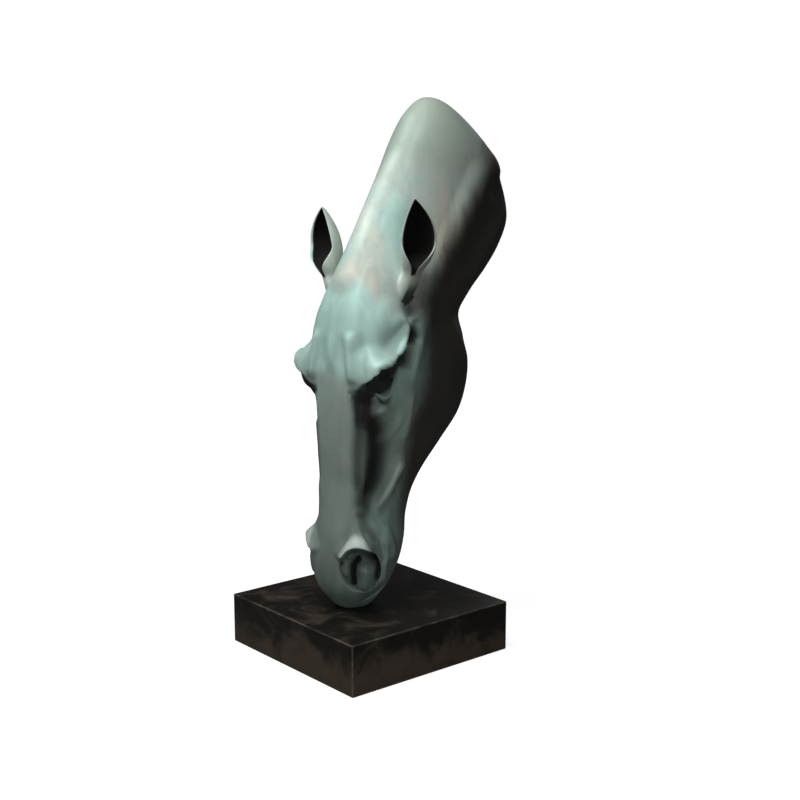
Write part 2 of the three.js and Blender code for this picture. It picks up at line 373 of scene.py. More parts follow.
# %% Side of the face
FACE_STROKES = [
    # the chamfer between the front and the side of the face, and its sharp end lower down
    ([(74, -39, 400), (66, -32, 360), (62, -28, 330)], 24, -5, "soft", 0.3),
    ([(58, -26, 300), (57, -24, 263), (54, -21, 205)], 14, 1.5, "sharp", 0.3),
    ([(76, -36, 405), (70, -30, 370), (64, -24, 335)], 8, -3.5, "soft", 0.3),
    # the swelling under the eye
    ([(84, -2, 374), (80, 8, 358), (76, 20, 342)], 20, 8, "soft", 0.15),
    # hollow of the side of the face
    ([(64, -14, 368), (66, 2, 335), (62, 8, 290), (56, 6, 245), (54, -4, 200)],
     33, -8.5, "soft", 0.15),
    # the facet between the front of the face and that hollow
    ([(56, -36, 400), (52, -38, 350), (48, -37, 300), (46, -35, 255), (44, -33, 215)],
     19, -3.2, "soft", 0.15),
    # crest of the cheek, and its fork
    ([(90, 64, 405), (89, 64, 389), (82, 61, 353), (79, 55, 317), (72, 50, 296)], 12, 7, "soft", 0.25),
    ([(85, 51, 363), (77, 37, 336), (66, 23, 315), (59, 4, 302)], 11, 5, "soft", 0.3),
    ([(70, 84, 308), (68, 62, 286)], 7, -5, "soft", 0.3),
    # the muscle down to the nostril, and the hollow behind it
    ([(72, 62, 288), (66, 52, 262), (62, 40, 238), (57, 26, 212), (54, 12, 190), (58, 4, 165)],
     18, 11, "soft", 0.25),
    ([(64, 92, 290), (64, 76, 250), (60, 62, 222), (57, 44, 195), (62, 34, 172)], 17, -5, "soft", 0.35),
    # the swelling beside the nostril
    ([(66, 18, 160), (72, 24, 140), (74, 32, 116), (72, 26, 84)], 17, 6, "soft", 0.2),
]
points = carve(points, normals, FACE_STROKES)
normals = place_vertices(head_bm, points)
print("side of the face", len(FACE_STROKES), "strokes")

# %% [markdown]
# Under the arch the surface is first planed back to the floor of the socket, with a steep face along the
# arch's edge. The eye is a ball set in that socket, with a lid over it and a lid under it. A ball is not
# a stroke: wherever the socket's surface lies deeper than the ball, it is brought out to the ball. The
# lids are ridges along an almond.

# %% Eyes
ARCH_EDGE = np.array([  # backward and up, as seen from the side
    (-60, 404), (-45, 419), (-41, 436), (-32, 447), (-8, 453), (12, 459), (30, 475), (48, 497), (58, 514),
])
ARCH_STEP = 7.0  # how wide the steep face is in front; it is twice as wide at the back
SOCKET_FLOOR = 82.0  # how far the floor is from the middle of the head
SOCKET_HEIGHT = 60.0
SOCKET_END = (54, 70)  # where it runs out at the back
SOCKET_SHADE = 11.0  # how many millimetres deeper the socket counts for its painted shadow under the arch
EYE_CENTRE = np.array((50.0, 1.0, 411.0))
EYE_RADIUS = 38.0
LID_THICKNESS = 3.5
EYE_LENGTH = 29.0  # half of the opening, from corner to corner
EYE_TILT = math.radians(19)
UPPER_RISE = 10.0
LOWER_FALL = 20.0
CORNERS_MIDDLE = np.array((0.0, 415.0))
LID_EDGES = (0.9, 3.0)  # how far the edges of the upper and the lower lid stand out
LID_PAINTED_HIGHLIGHTS = (5, 10)  # and how much painted highlight their edges get
CREASE = 2.4  # depth of the crease round the lids
CREASE_SHADES = (1.5, 3.5)  # painted shade in the crease, above and below
# painted shade on the ball inside the opening
BALL_SHADE = 6


def near_side(points, side):
    """The points that lie on one side of the head, as row numbers."""
    return np.flatnonzero(points[:, 0] * side[0] > 30)


def plane_sockets(points):
    """Takes the surface under the arch back to the socket's floor, and marks the painted shadow there."""
    for side in LEFT_AND_RIGHT:
        rows = near_side(points, side)
        y, z = points[rows, 1], points[rows, 2]
        below = np.interp(y, *ARCH_EDGE.T) - z
        steep = smoothstep(0, ARCH_STEP * (1 + smoothstep(20, 50, y)), below)
        share = steep * (1 - smoothstep(0.6, 1.0, below / SOCKET_HEIGHT)) * (1 - smoothstep(*SOCKET_END, y))
        proud = np.maximum(points[rows, 0] * side[0] - SOCKET_FLOOR, 0)
        points[rows, 0] -= side[0] * share * proud
        # painted shadow: the socket under the arch's overhang is darkened where the arch shades it
        shade = share * (1 - smoothstep(48, 64, below))
        shade = shade * (1 - smoothstep(26, 44, y) * smoothstep(14, 30, below))
        relief[rows] -= SOCKET_SHADE * shade * smoothstep(70, 80, points[rows, 0] * side[0])


def set_balls(points, centre, radius, blend):
    """Brings the surface out to a ball on either side of the head, faired in within blend of it."""
    for side in LEFT_AND_RIGHT:
        rows = near_side(points, side)
        offset = points[rows] - centre * side
        inside = radius ** 2 - offset[:, 1] ** 2 - offset[:, 2] ** 2
        rows, inside = rows[inside > 0], inside[inside > 0]
        here = points[rows, 0] * side[0]
        ball = np.sqrt(inside) + centre[0]
        share = np.clip(0.5 + 0.5 * (ball - here) / blend, 0, 1)
        points[rows, 0] = side[0] * (here + (ball - here) * share + blend * share * (1 - share))


def in_opening(points):
    """How far out a point is from the middle of the eye's opening: 1 is the lids' edge."""
    y, z = points[:, 1] - CORNERS_MIDDLE[0], points[:, 2] - CORNERS_MIDDLE[1]
    along = (y * math.cos(EYE_TILT) + z * math.sin(EYE_TILT)) / EYE_LENGTH
    across = z * math.cos(EYE_TILT) - y * math.sin(EYE_TILT)
    rise = np.where(across > 0, UPPER_RISE, LOWER_FALL) * np.maximum(1 - along ** 2, 1e-3)
    return np.where(np.abs(along) < 1, np.abs(across) / rise, 9.0), across


def open_lids(points):
    """Cuts the opening through the lids down to the ball, and turns the lids' edges out."""
    for side in LEFT_AND_RIGHT:
        rows = near_side(points, side)
        rows = rows[np.linalg.norm(points[rows] - EYE_CENTRE * side, axis=1) < 1.6 * EYE_RADIUS]
        out, across = in_opening(points[rows])
        cut = LID_THICKNESS * (1 - smoothstep(0.84, 1.0, out))
        edge = np.where(across > 0, *LID_EDGES) * np.exp(-((out - 1.1) / 0.16) ** 2)
        crease = CREASE * np.exp(-((out - 1.75) / 0.3) ** 2)
        points[rows, 0] += side[0] * (edge - cut - crease)
        # painted highlight on the lids' edges, painted shade on the ball and in the crease round the lids
        relief[rows] += np.where(across > 0, *LID_PAINTED_HIGHLIGHTS) * edge - BALL_SHADE * cut / LID_THICKNESS
        relief[rows] -= np.where(across > 0, *CREASE_SHADES) * crease


plane_sockets(points)
set_balls(points, EYE_CENTRE, EYE_RADIUS + LID_THICKNESS, 3.0)
open_lids(points)
normals = place_vertices(head_bm, points)
print("eyes", round(2 * EYE_LENGTH), "mm from corner to corner")

# %% [markdown]
# The nostril is a deep comma. Its upper rim stands out like an eave, its hole goes in under it, and two
# folds of skin inside catch the light. All of it is pushed in and out along one direction, as the hole
# really goes.

# %% Nostrils
EAVE = (4.96, -5.92, 0.0)
NOSTRIL_FORM = [
    # the wing above, which comes out like an eave, and the groove behind it
    ([(26, -64, 100), (38, -56, 118), (56, -42, 132), (72, -28, 130), (78, -12, 116)],
     20, EAVE, "soft", 0.15),
    ([(56, -30, 168), (64, -24, 155), (72, -12, 142), (76, 0, 124)], 10, -5, "soft", 0.3),
    # the outer rim
    ([(70, 14, 142), (76, 14, 112), (80, 10, 90), (80, 4, 66), (72, -10, 48)], 13, 5, "soft", 0.2),
]
HOLE_MIDDLE = np.array((17.0, 86.0))  # across and up, as seen along the hole
HOLE_HALVES = np.array((38.0, 44.0))
HOLE_SLANT = 0.10
HOLE_SHIFTS = (0.0, 9.0)  # the right hole lies a little further round
HOLE_ACROSS = np.array((0.719, 0.695, 0.0))
HOLE_INWARD = np.array((-0.68, 0.71, -0.12))
HOLE_RANGE = {"along": -28, "up": 190, "across": -40}  # no point past these belongs to it
HOLE_DEPTH = 9.0
HOLE_SHADE = 0.7  # the share of its depth that is painted as shade in the hole
HOLE_SHAPES = [
    # line across and up, reach, depth
    # the arc under the eave, the slot, the outer crescent, and the two folds
    ([(-18, 100), (-12, 116), (0, 125), (12, 127), (28, 121), (42, 108)], 11, 9),
    ([(14, 108), (6, 96), (5, 80), (6, 60)], 8, 11),
    ([(46, 112), (50, 92), (46, 70)], 9, 9),
    ([(31, 82), (31, 70), (26, 54)], 19, -11),
    ([(-10, 102), (-9, 80)], 10, -7),
]
GROOVE = [(18, 180), (37, 152), (55, 121), (60, 100)]  # behind the wing, in the same terms
GROOVE_REACH = 10
GROOVE_DEPTH = 5
WING_TOP = np.array((11.0, 174.0))
WING_HEIGHT = 54.0
WING_HALF = 30.0
WING_DEPTH = 11
WING_SHARES = (1.0, 0.4)  # the right wing stands out less


def in_and_out(seen):
    """How far a point goes in at the hole and the groove, and out at the wing, seen along the hole."""
    offset = (seen - HOLE_MIDDLE) / HOLE_HALVES
    out = np.hypot(offset[:, 0] + HOLE_SLANT * offset[:, 1], offset[:, 1])
    mouth = 1 - smoothstep(0.88, 1.0, out)
    depth = np.full(len(seen), HOLE_DEPTH)
    for line, reach, amount in HOLE_SHAPES:
        far, _ = along_line(line, seen)
        depth += amount * PROFILES["soft"](np.minimum(far / reach, 1))
    down = (WING_TOP[1] - seen[:, 1]) / WING_HEIGHT
    edge = np.abs(seen[:, 0] - WING_TOP[0]) / (WING_HALF * np.maximum(down, 0.05))
    wing = WING_DEPTH * np.clip(down, 0, 1) * (1 - smoothstep(0.72, 1.0, edge)) * (down < 1.2)
    far, _ = along_line(GROOVE, seen)
    groove = GROOVE_DEPTH * PROFILES["soft"](np.minimum(far / GROOVE_REACH, 1))
    return mouth * depth, (1 - mouth) * groove, (1 - mouth) * wing


def open_nostrils(points):
    """Pushes the surface in along the hole's direction, inside a slanted oval, on both sides."""
    for side, shift, wing_share in zip(LEFT_AND_RIGHT, HOLE_SHIFTS, WING_SHARES):
        across = points @ (HOLE_ACROSS * side) - shift
        near = points @ (HOLE_INWARD * side) < HOLE_RANGE["along"]
        near &= (points[:, 2] < HOLE_RANGE["up"]) & (across > HOLE_RANGE["across"])
        rows = np.flatnonzero(near)
        hollow, groove, wing = in_and_out(np.stack([across[rows], points[rows, 2]], axis=1))
        wing = wing * wing_share
        points[rows] += (hollow + groove - wing)[:, None] * HOLE_INWARD * side
        # painted shade in the hole and the groove; the wing is painted paler, partly painted highlight
        # where it catches the light
        relief[rows] += wing / wing_share - HOLE_SHADE * hollow - groove


points = carve(points, normals, NOSTRIL_FORM)
open_nostrils(points)
normals = place_vertices(head_bm, points)
print("nostrils", len(NOSTRIL_FORM) + len(HOLE_SHAPES), "strokes")

# %% [markdown]
# Painted shade goes where the form leaves the surface in shade: under the arch, on the step below the brow
# and down the side of the face. The patina reads this from the relief, so these places are marked there,
# with soft ends. The lips are then cut flat where they stand, and the relief is evened out a little from
# vertex to vertex.

# %% Painted shade in hollows
PAINTED_SHADE_LINES = [
    # line, reach, and how many millimetres deeper it counts for the painted shade
    ([(104, 68, 524), (106, 58, 500), (102, 49, 480), (96, 40, 463), (88, 20, 449), (84, 0, 442),
      (80, -22, 426), (72, -36, 404)], 21, 19),
    ([(42, -48, 393), (60, -42, 394), (70, -34, 394)], 10, 9),
    ([(62, -28, 392), (58, -31, 350), (55, -31, 300), (53, -29, 255), (50, -28, 205)], 25, 7),
    ([(66, -22, 384), (68, -4, 350), (64, 10, 300), (58, 8, 250), (54, -6, 200)], 48, 5),
]
for line, reach, amount in PAINTED_SHADE_LINES:
    for side in LEFT_AND_RIGHT:
        far, _ = along_line([np.array(place) * side for place in line], points)
        relief -= amount * PROFILES["soft"](np.minimum(far / reach, 1))
print("dark hollows", len(PAINTED_SHADE_LINES))

# %% Lips on the stone, and the relief as marks
RELIEF_ROUNDS = 3
RELIEF_FULL = 12.0  # millimetres in or out that count as fully hollow or proud

points[:, 2] = np.maximum(points[:, 2], 0)
place_vertices(head_bm, points)


def store(bm, name, values):
    """Keeps one number per vertex in the mesh, for the materials to read."""
    layer = bm.verts.layers.float.new(name)
    for vertex, value in zip(bm.verts, values):
        vertex[layer] = value


ends = np.array([(e.verts[0].index, e.verts[1].index) for e in head_bm.edges])
links = np.bincount(ends.ravel(), minlength=len(points))
for _ in range(RELIEF_ROUNDS):
    beside = np.bincount(ends[:, 0], relief[ends[:, 1]], len(points))
    beside += np.bincount(ends[:, 1], relief[ends[:, 0]], len(points))
    relief = 0.5 * relief + 0.5 * beside / links
marks = [(points, np.clip(relief / RELIEF_FULL, -1, 1))]  # places, and how hollow or proud each is
print("lips stand at", round(points[:, 2].min(), 1), "mm")

# %% [markdown]
# An ear is a leaf of bronze rolled round an upright line. Each starts as a sphere too: half of every ring
# becomes the outside of the leaf, and the other half its inside. The leaf is shut round below and opens
# above. The two ears differ, as the horse's left ear is turned further out. The inside is marked dark,
# partly for the darker bare bronze in the cup and partly as painted shade, and one side of the root gets a
# painted shadow. A Boolean union then joins the ears to the head.

# %% Ears
EARS = {
    # facing is in degrees from straight ahead towards the horse's left
    "left": {
        "foot": (54, 58, 540), "waist": (124, 70, 638), "tip": (112, 46, 734),
        "facing": 50, "spread": 22, "depth": 19,
    },
    "right": {
        "foot": (-56, 38, 530), "waist": (-128, 48, 622), "tip": (-117, 44, 714),
        "facing": -3, "spread": 22, "depth": 25,
    },
}
EAR_TRUNK = 16  # radius of the stalk under the opening
EAR_MOUTH = 0.33  # where on the ear the opening starts
EAR_FLARE = 4  # how much wider the stalk is at its foot
EAR_TIP = 3  # depth of the leaf that is left at the tip
EAR_WALL = 6
EAR_RINGS = 64
EAR_SEGMENTS = 96
EAR_RIM = 0.06  # share of the inside over which the rim is rounded
EAR_SHADE = 1.2  # how dark its inside is marked, where 1 is fully: partly its darker bare bronze, partly painted shade
# how dark the painted shadow under one side of the ear's root is
EAR_ROOT_SHADE = 0.9


def make_ear(foot, waist, tip, facing, spread, depth):
    """One ear as a bmesh, in the head's own frame."""
    bm = bmesh.new()
    bmesh.ops.create_uvsphere(bm, u_segments=EAR_SEGMENTS, v_segments=EAR_RINGS, radius=1)
    co = np.array([v.co for v in bm.verts])
    s = np.arccos(np.clip(-co[:, 2], -1, 1)) / math.pi
    turn = np.arctan2(co[:, 0], co[:, 1]) / math.pi  # from -1 to 1, and 0 at the back of the ear
    foot, waist, tip = (np.array(place, float) for place in (foot, waist, tip))
    axis = np.outer((1 - s) ** 2, foot) + np.outer(2 * s * (1 - s), waist) + np.outer(s ** 2, tip)
    angle = math.radians(facing)
    back = np.array((-math.sin(angle), math.cos(angle), 0))
    aside = np.cross((0, 0, 1), back)
    opened = np.maximum(0, (s - EAR_MOUTH) / (1 - EAR_MOUTH))
    below = 1 - np.minimum(1, s / EAR_MOUTH)
    pole = np.minimum(1, s / 0.02)
    trunk = EAR_TRUNK * (1 - opened) + EAR_FLARE * below
    leaf = 4 * opened * (1 - opened)
    wide = (trunk + spread * leaf) * pole
    deep = (trunk + depth * leaf + EAR_TIP * opened) * pole * np.minimum(1, (1 - s) / 0.02)
    rim = math.pi * (0.93 - 0.37 * smoothstep(0, 0.45, opened))
    hollow = smoothstep(0, 0.3, opened)
    outside = np.abs(turn) <= 0.5
    outer_turn = rim * 2 * turn
    round_share = np.where(turn > 0, turn - 0.5, 1.5 + turn)  # 0 to 1 over the inside, from rim to rim
    rounding = np.clip(np.minimum(round_share, 1 - round_share) / EAR_RIM, 0, 1)
    wall = EAR_WALL * (1 - 0.6 * opened) * np.sqrt(1 - (1 - rounding) ** 2)
    shut = rim + 2 * (math.pi - rim) * round_share
    cup = rim * (1 - 2 * round_share)
    inner_wide = np.maximum(wide - wall, 0)
    inner_deep = np.maximum(deep - wall, 0)
    a = np.where(outside, wide * np.sin(outer_turn),
                 (1 - hollow) * wide * np.sin(shut) + hollow * inner_wide * np.sin(cup))
    b = np.where(outside, deep * np.cos(outer_turn),
                 (1 - hollow) * deep * np.cos(shut) + hollow * inner_deep * np.cos(cup))
    places = axis + np.outer(a, aside) + np.outer(b, back)
    for vertex, place in zip(bm.verts, places):
        vertex.co = place
    from_rim = np.minimum(round_share, 1 - round_share)
    inner = smoothstep(EAR_MOUTH - 0.04, EAR_MOUTH, s) * smoothstep(0, 0.04, from_rim) * ~outside
    # painted shade inside the cup, partly its darker bare bronze, and painted shadow under one side of the
    # root
    root = smoothstep(0.05, 0.6, below) * smoothstep(0.5, -0.5, np.sin(math.pi * turn))
    marks.append((places, -EAR_SHADE * inner - EAR_ROOT_SHADE * root * (1 - inner)))
    bmesh.ops.reverse_faces(bm, faces=bm.faces)
    bm.normal_update()
    return bm


def as_object(bm, name):
    """A new object from a bmesh, which is then freed."""
    mesh = bpy.data.meshes.new(name)
    bm.to_mesh(mesh)
    bm.free()
    piece = bpy.data.objects.new(name, mesh)
    bpy.context.scene.collection.objects.link(piece)
    return piece


def join(piece, other):
    """A Boolean union with another object, which is then removed."""
    change = piece.modifiers.new("union", "BOOLEAN")
    change.operation = "UNION"
    change.solver = "EXACT"
    change.object = other
    depsgraph = bpy.context.evaluated_depsgraph_get()
    mesh = bpy.data.meshes.new_from_object(piece.evaluated_get(depsgraph))
    piece.modifiers.clear()
    piece.data = mesh
    bpy.data.objects.remove(other)
    bpy.context.view_layer.update()


head = as_object(head_bm, "bronze_head")
for name, ear in EARS.items():
    join(head, as_object(make_ear(**ear), name + "_ear"))
print("head with ears", len(head.data.vertices), "vertices")

# %% [markdown]
# Where an ear grows out of the head, the bronze flows from one into the other. The union leaves a hard
# corner there, so the vertices round the ear's root are smoothed, which rounds the corner like a fillet.
# The tip of the arch is eased in the same way. The union also drops what was kept per vertex, so each
# vertex takes its relief from the nearest of the marked places.

# %% Fair the roots and stand the head on its lips
HEAD_TURN = math.radians(6)
LIPS_PLACE = Vector((8, -46, 92)) * MM
ROOTS = [
    # centre, reach, rounds of smoothing: the root of the ear, and the tip of the arch
    (np.array((88.0, 58.0, 584.0)), 34, 8),
    (np.array((102.0, 46.0, 496.0)), 20, 5),
]

head_bm = bmesh.new()
head_bm.from_mesh(head.data)
bmesh.ops.remove_doubles(head_bm, verts=head_bm.verts, dist=0.05)
known_places = np.concatenate([places for places, _ in marks])
known_values = np.concatenate([values for _, values in marks])
tree = KDTree(len(known_places))
for i, known in enumerate(known_places):
    tree.insert(known, i)
tree.balance()
store(head_bm, "relief", [known_values[tree.find(v.co)[1]] for v in head_bm.verts])
co = np.array([v.co for v in head_bm.verts])
for centre, reach, rounds in ROOTS:
    near = np.zeros(len(co), bool)
    for side in LEFT_AND_RIGHT:
        near |= np.linalg.norm(co - centre * side, axis=1) < reach
    roots = [v for v, chosen in zip(head_bm.verts, near) if chosen]
    for _ in range(rounds):
        bmesh.ops.smooth_vert(
            head_bm, verts=roots, factor=0.5, use_axis_x=True, use_axis_y=True, use_axis_z=True,
        )
bmesh.ops.scale(head_bm, vec=(MM, MM, MM), verts=head_bm.verts)
bmesh.ops.rotate(head_bm, cent=(0, 0, 0), matrix=Matrix.Rotation(HEAD_TURN, 3, "Z"), verts=head_bm.verts)
bmesh.ops.translate(head_bm, vec=LIPS_PLACE, verts=head_bm.verts)
bmesh.ops.recalc_face_normals(head_bm, faces=head_bm.faces)
for face in head_bm.faces:
    face.smooth = True
head_bm.to_mesh(head.data)
head_bm.free()
triangles = sum(len(p.vertices) - 2 for p in head.data.polygons)
print("head", [round(v, 3) for v in head.dimensions], "m,", triangles, "triangles")

# %% [markdown]
# The plinth is a block of dark stone with its edges just taken off. A real edge is never perfectly sharp,
# and the thin bright line that it catches is what makes it read as stone, so the cube gets a rounded
# bevel of about 2 mm. The faces of the bevel are marked, because the stone is rubbed paler on them.

# %% Plinth
PLINTH_EDGE = 2.2 * MM
low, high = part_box("plinth")
plinth_bm = bmesh.new()
bmesh.ops.create_cube(plinth_bm, size=1)
bmesh.ops.scale(plinth_bm, vec=high - low, verts=plinth_bm.verts)
bmesh.ops.translate(plinth_bm, vec=(low + high) / 2, verts=plinth_bm.verts)
bmesh.ops.subdivide_edges(plinth_bm, edges=plinth_bm.edges, cuts=5, use_grid_fill=True)
rubbed = plinth_bm.faces.layers.float.new("rubbed")
sharp_edges = [e for e in plinth_bm.edges if e.calc_face_angle() > 1]
edge_faces = bmesh.ops.bevel(
    plinth_bm, geom=sharp_edges, offset=PLINTH_EDGE, segments=4, profile=0.5, affect="EDGES", material=-1,
)["faces"]
for face in edge_faces:
    face[rubbed] = 1
for face in plinth_bm.faces:
    face.smooth = True
plinth = as_object(plinth_bm, "stone_plinth")
print("plinth", [round(v, 3) for v in plinth.dimensions], "m")

# %% [markdown]
# Shader maths reads best as plain sums. The small class below wraps a socket, so that the sum of two of
# them adds a Math node. Colours go through Mix nodes and vectors through Vector Math, because a Math node
# turns a colour grey. Every other node comes from one method.

# %% Shader helpers


class Signal:
    """A value in a material's nodes, which can be used in sums."""

    def __init__(self, finish, socket):
        self.finish = finish
        self.socket = socket

    def _math(self, operation, first, second):
        return self.finish.node("ShaderNodeMath", {"operation": operation}, {0: first, 1: second})

    def __add__(self, other):
        return self._math("ADD", self, other)

    def __radd__(self, other):
        return self._math("ADD", other, self)

    def __sub__(self, other):
        return self._math("SUBTRACT", self, other)

    def __rsub__(self, other):
        return self._math("SUBTRACT", other, self)

    def __mul__(self, other):
        return self._math("MULTIPLY", self, other)

    def __rmul__(self, other):
        return self._math("MULTIPLY", other, self)


class Finish:
    """A material under construction."""

    def __init__(self, name):
        self.material = bpy.data.materials.new(name)
        self.material.use_nodes = True
        self.tree = self.material.node_tree
        self.tree.nodes.clear()

    def node(self, kind, settings=None, values=None, output=0):
        """Any node: first its settings, then the values or links of its sockets, by name or number."""
        made = self.tree.nodes.new(kind)
        for name, value in (settings or {}).items():
            if name == "stops":
                self._set_stops(made.color_ramp, value)
            else:
                setattr(made, name, value)
        for key, value in (values or {}).items():
            socket = made.inputs[key] if isinstance(key, int) else self._shown(made.inputs, key)
            if isinstance(value, Signal):
                self.tree.links.new(value.socket, socket)
            else:
                socket.default_value = value
        socket = made.outputs[output] if isinstance(output, int) else self._shown(made.outputs, output)
        return Signal(self, socket)

    @staticmethod
    def _shown(sockets, name):
        return next(s for s in sockets if s.name == name and s.enabled)

    @staticmethod
    def _set_stops(ramp, stops):
        while len(ramp.elements) < len(stops):
            ramp.elements.new(0.5)
        for element, (place, colour) in zip(ramp.elements, stops):
            element.position = place
            element.color = (*colour, 1)

    def place(self, size=(1, 1, 1), turn=(0, 0, 0)):
        """Object coordinates, stretched and turned."""
        plain = self.node("ShaderNodeTexCoord", output="Object")
        return self.node("ShaderNodeMapping", {}, {"Vector": plain, "Scale": size, "Rotation": turn})

    def noise(self, place, scale, detail=4.0, roughness=0.5, distortion=0.0):
        return self.node("ShaderNodeTexNoise", {}, {
            "Vector": place, "Scale": scale, "Detail": detail,
            "Roughness": roughness, "Distortion": distortion,
        })

    def spread(self, value, low, high, start=0.0, end=1.0):
        """The value between low and high, smoothly, as a number from start to end."""
        return self.node("ShaderNodeMapRange", {"interpolation_type": "SMOOTHSTEP"}, {
            "Value": value, "From Min": low, "From Max": high, "To Min": start, "To Max": end,
        })

    def mix(self, share, first, second, blend="MIX"):
        """Two colours mixed."""
        return self.node("ShaderNodeMix", {"data_type": "RGBA", "blend_type": blend}, {
            "Factor": share, "A": self._colour(first), "B": self._colour(second),
        }, "Result")

    @staticmethod
    def _colour(value):
        return value if isinstance(value, Signal) else (*value, 1)

    def height(self):
        """How high a point is, in metres."""
        plain = self.node("ShaderNodeTexCoord", output="Object")
        return self.node("ShaderNodeSeparateXYZ", {}, {"Vector": plain}, "Z")

    def finish(self, piece, **shader_values):
        """Ends the material with a Principled shader and puts it on a piece."""
        values = {name.replace("_", " "): value for name, value in shader_values.items()}
        shader = self.node("ShaderNodeBsdfPrincipled", {}, values)
        self.node_out(shader)
        piece.data.materials.clear()
        piece.data.materials.append(self.material)

    def node_out(self, shader):
        out = self.tree.nodes.new("ShaderNodeOutputMaterial")
        self.tree.links.new(shader.socket, out.inputs["Surface"])


print("shader helpers ready")

# %% [markdown]
# The bronze has a green patina under wax. It is palest and bluest on the neck, cream and pinkish in soft
# clouds, and slate green down the face, so the colour follows height, then clouds of noise at two sizes;
# the darkening towards the muzzle is partly painted light falling from above. Behind the cheek and the neck
# it turns brown, partly the brown of the metal where the patina thins and partly painted shade on the side
# turned from the light. The forehead is kept aqua, partly as painted light. The hollows get painted shade
# and stay dull, and proud edges are paler, partly rubbed and partly painted highlight. The wax is a thin
# coat, and it makes the whole satin.

# %% Patina
SLATE = (0.115, 0.155, 0.135)
SEA = (0.27, 0.345, 0.295)
PALE = (0.53, 0.61, 0.545)
AQUA = (0.42, 0.66, 0.61)
CREAM = (0.66, 0.61, 0.51)
BROWN = (0.030, 0.025, 0.019)
BLACK = (0.004, 0.004, 0.003)

patina = Finish("patina_on_bronze")
place = patina.place()
height = patina.height()
depth = patina.node("ShaderNodeSeparateXYZ", {}, {"Vector": place}, "Y")
clouds = patina.noise(patina.place((1, 1, 0.75)), 6.0, 2.0, 0.45, 0.3)
drifts = patina.noise(patina.place((1, 1, 0.6), (0.3, 0.5, 1.1)), 9.0, 2.0, 0.5, 0.4)
wisps = patina.noise(patina.place((1, 1, 0.35)), 38.0, 4.0, 0.6, 0.6)
grain = patina.noise(place, 190.0, 3.0, 0.6)

# from slate at the muzzle to pale on the neck: partly the patina, partly painted light falling from above
rise = height + (clouds - 0.5) * 0.22
colour = patina.mix(patina.spread(rise, 0.18, 0.52), SLATE, SEA)
colour = patina.mix(patina.spread(rise, 0.46, 0.74), colour, PALE)

# aqua and cream clouds, and thin slate wisps
# the forehead is kept paler aqua: partly its patina, partly painted light where the lamp falls on it
forehead = patina.spread(height, 0.50, 0.56) * patina.spread(height, 0.70, 0.64)
forehead = forehead * patina.spread(depth, -0.03, -0.06)
aqua_share = patina.spread(clouds + forehead * 0.28, 0.50, 0.64)
aqua_share = aqua_share * patina.spread(height, 0.35, 0.65, 0.25, 0.85)
cream_share = patina.spread(drifts - forehead * 0.3, 0.46, 0.70)
cream_share = cream_share * patina.spread(height, 0.30, 0.60, 0.05, 0.85)
colour = patina.mix(patina.spread(clouds, 0.50, 0.40, 0.0, 0.5), colour, SEA)
colour = patina.mix(aqua_share, colour, AQUA)
colour = patina.mix(cream_share, colour, CREAM)
colour = patina.mix(patina.spread(wisps, 0.35, 0.75, 0.0, 0.22), colour, SLATE)

# brown behind the cheek and the neck, past an edge that leans back as it rises: partly bare brown metal,
# partly painted shade on the side turned from the light
low_edge = patina.node("ShaderNodeMapRange", {}, {
    "Value": height, "From Min": 0.20, "From Max": 0.40, "To Min": 0.05, "To Max": 0.044,
})
neck_edge = patina.node("ShaderNodeMath", {"operation": "MAXIMUM"}, {0: height - 0.635, 1: 0.0}) * 0.72
behind = depth - low_edge - neck_edge + (drifts - 0.5) * 0.05 + (wisps - 0.5) * 0.03
bare_and_painted_shade = patina.spread(behind, -0.05, 0.035, 0, 0.95)
colour = patina.mix(patina.spread(height, 0.80, 0.94, 0, 0.8), colour, SEA)
colour = patina.mix(bare_and_painted_shade, colour, BROWN)

# painted shade in hollows, and paler proud edges: partly rubbed wear, partly painted highlight
relief = patina.node("ShaderNodeAttribute", {"attribute_name": "relief"}, {}, "Fac")
painted_hollow_shade = patina.spread(relief * -1.0, 0.1, 1.15, 0.0, 1.0)
colour = patina.mix(painted_hollow_shade, colour, BLACK)
colour = patina.mix(patina.spread(relief, 0.3, 1.0, 0.0, 0.7), colour, PALE)

bump = patina.node("ShaderNodeBump", {}, {
    "Strength": 0.1, "Distance": 0.0006, "Height": grain + wisps * 1.5,
})
patina.finish(
    head,
    Base_Color=colour,
    Metallic=0.1,
    Roughness=patina.spread(wisps, 0.3, 0.7, 0.5, 0.62) + painted_hollow_shade * 0.35,
    Coat_Weight=0.06 - painted_hollow_shade * 0.06,
    Specular_IOR_Level=0.35,
    Coat_Roughness=0.4,
    Normal=bump,
)
print("patina", len(patina.tree.nodes), "nodes")

# %% [markdown]
# The stone is nearly black with brown clouds, which are thicker down its sides towards its foot, partly its
# own colour and partly painted light that keeps the sides paler than the top, and it is honed to a satin.
# Its edges are rubbed paler, and fine pits break the light on its faces.

# %% Dark stone
STONE_DARK = (0.0075, 0.006, 0.0045)
STONE_BROWN = (0.062, 0.047, 0.034)
STONE_RUBBED = (0.14, 0.11, 0.085)

stone = Finish("dark_stone")
stone_place = stone.place()
mottle = stone.noise(stone_place, 14.0, 6.0, 0.65, 0.8)
specks = stone.noise(stone_place, 220.0, 3.0, 0.7)
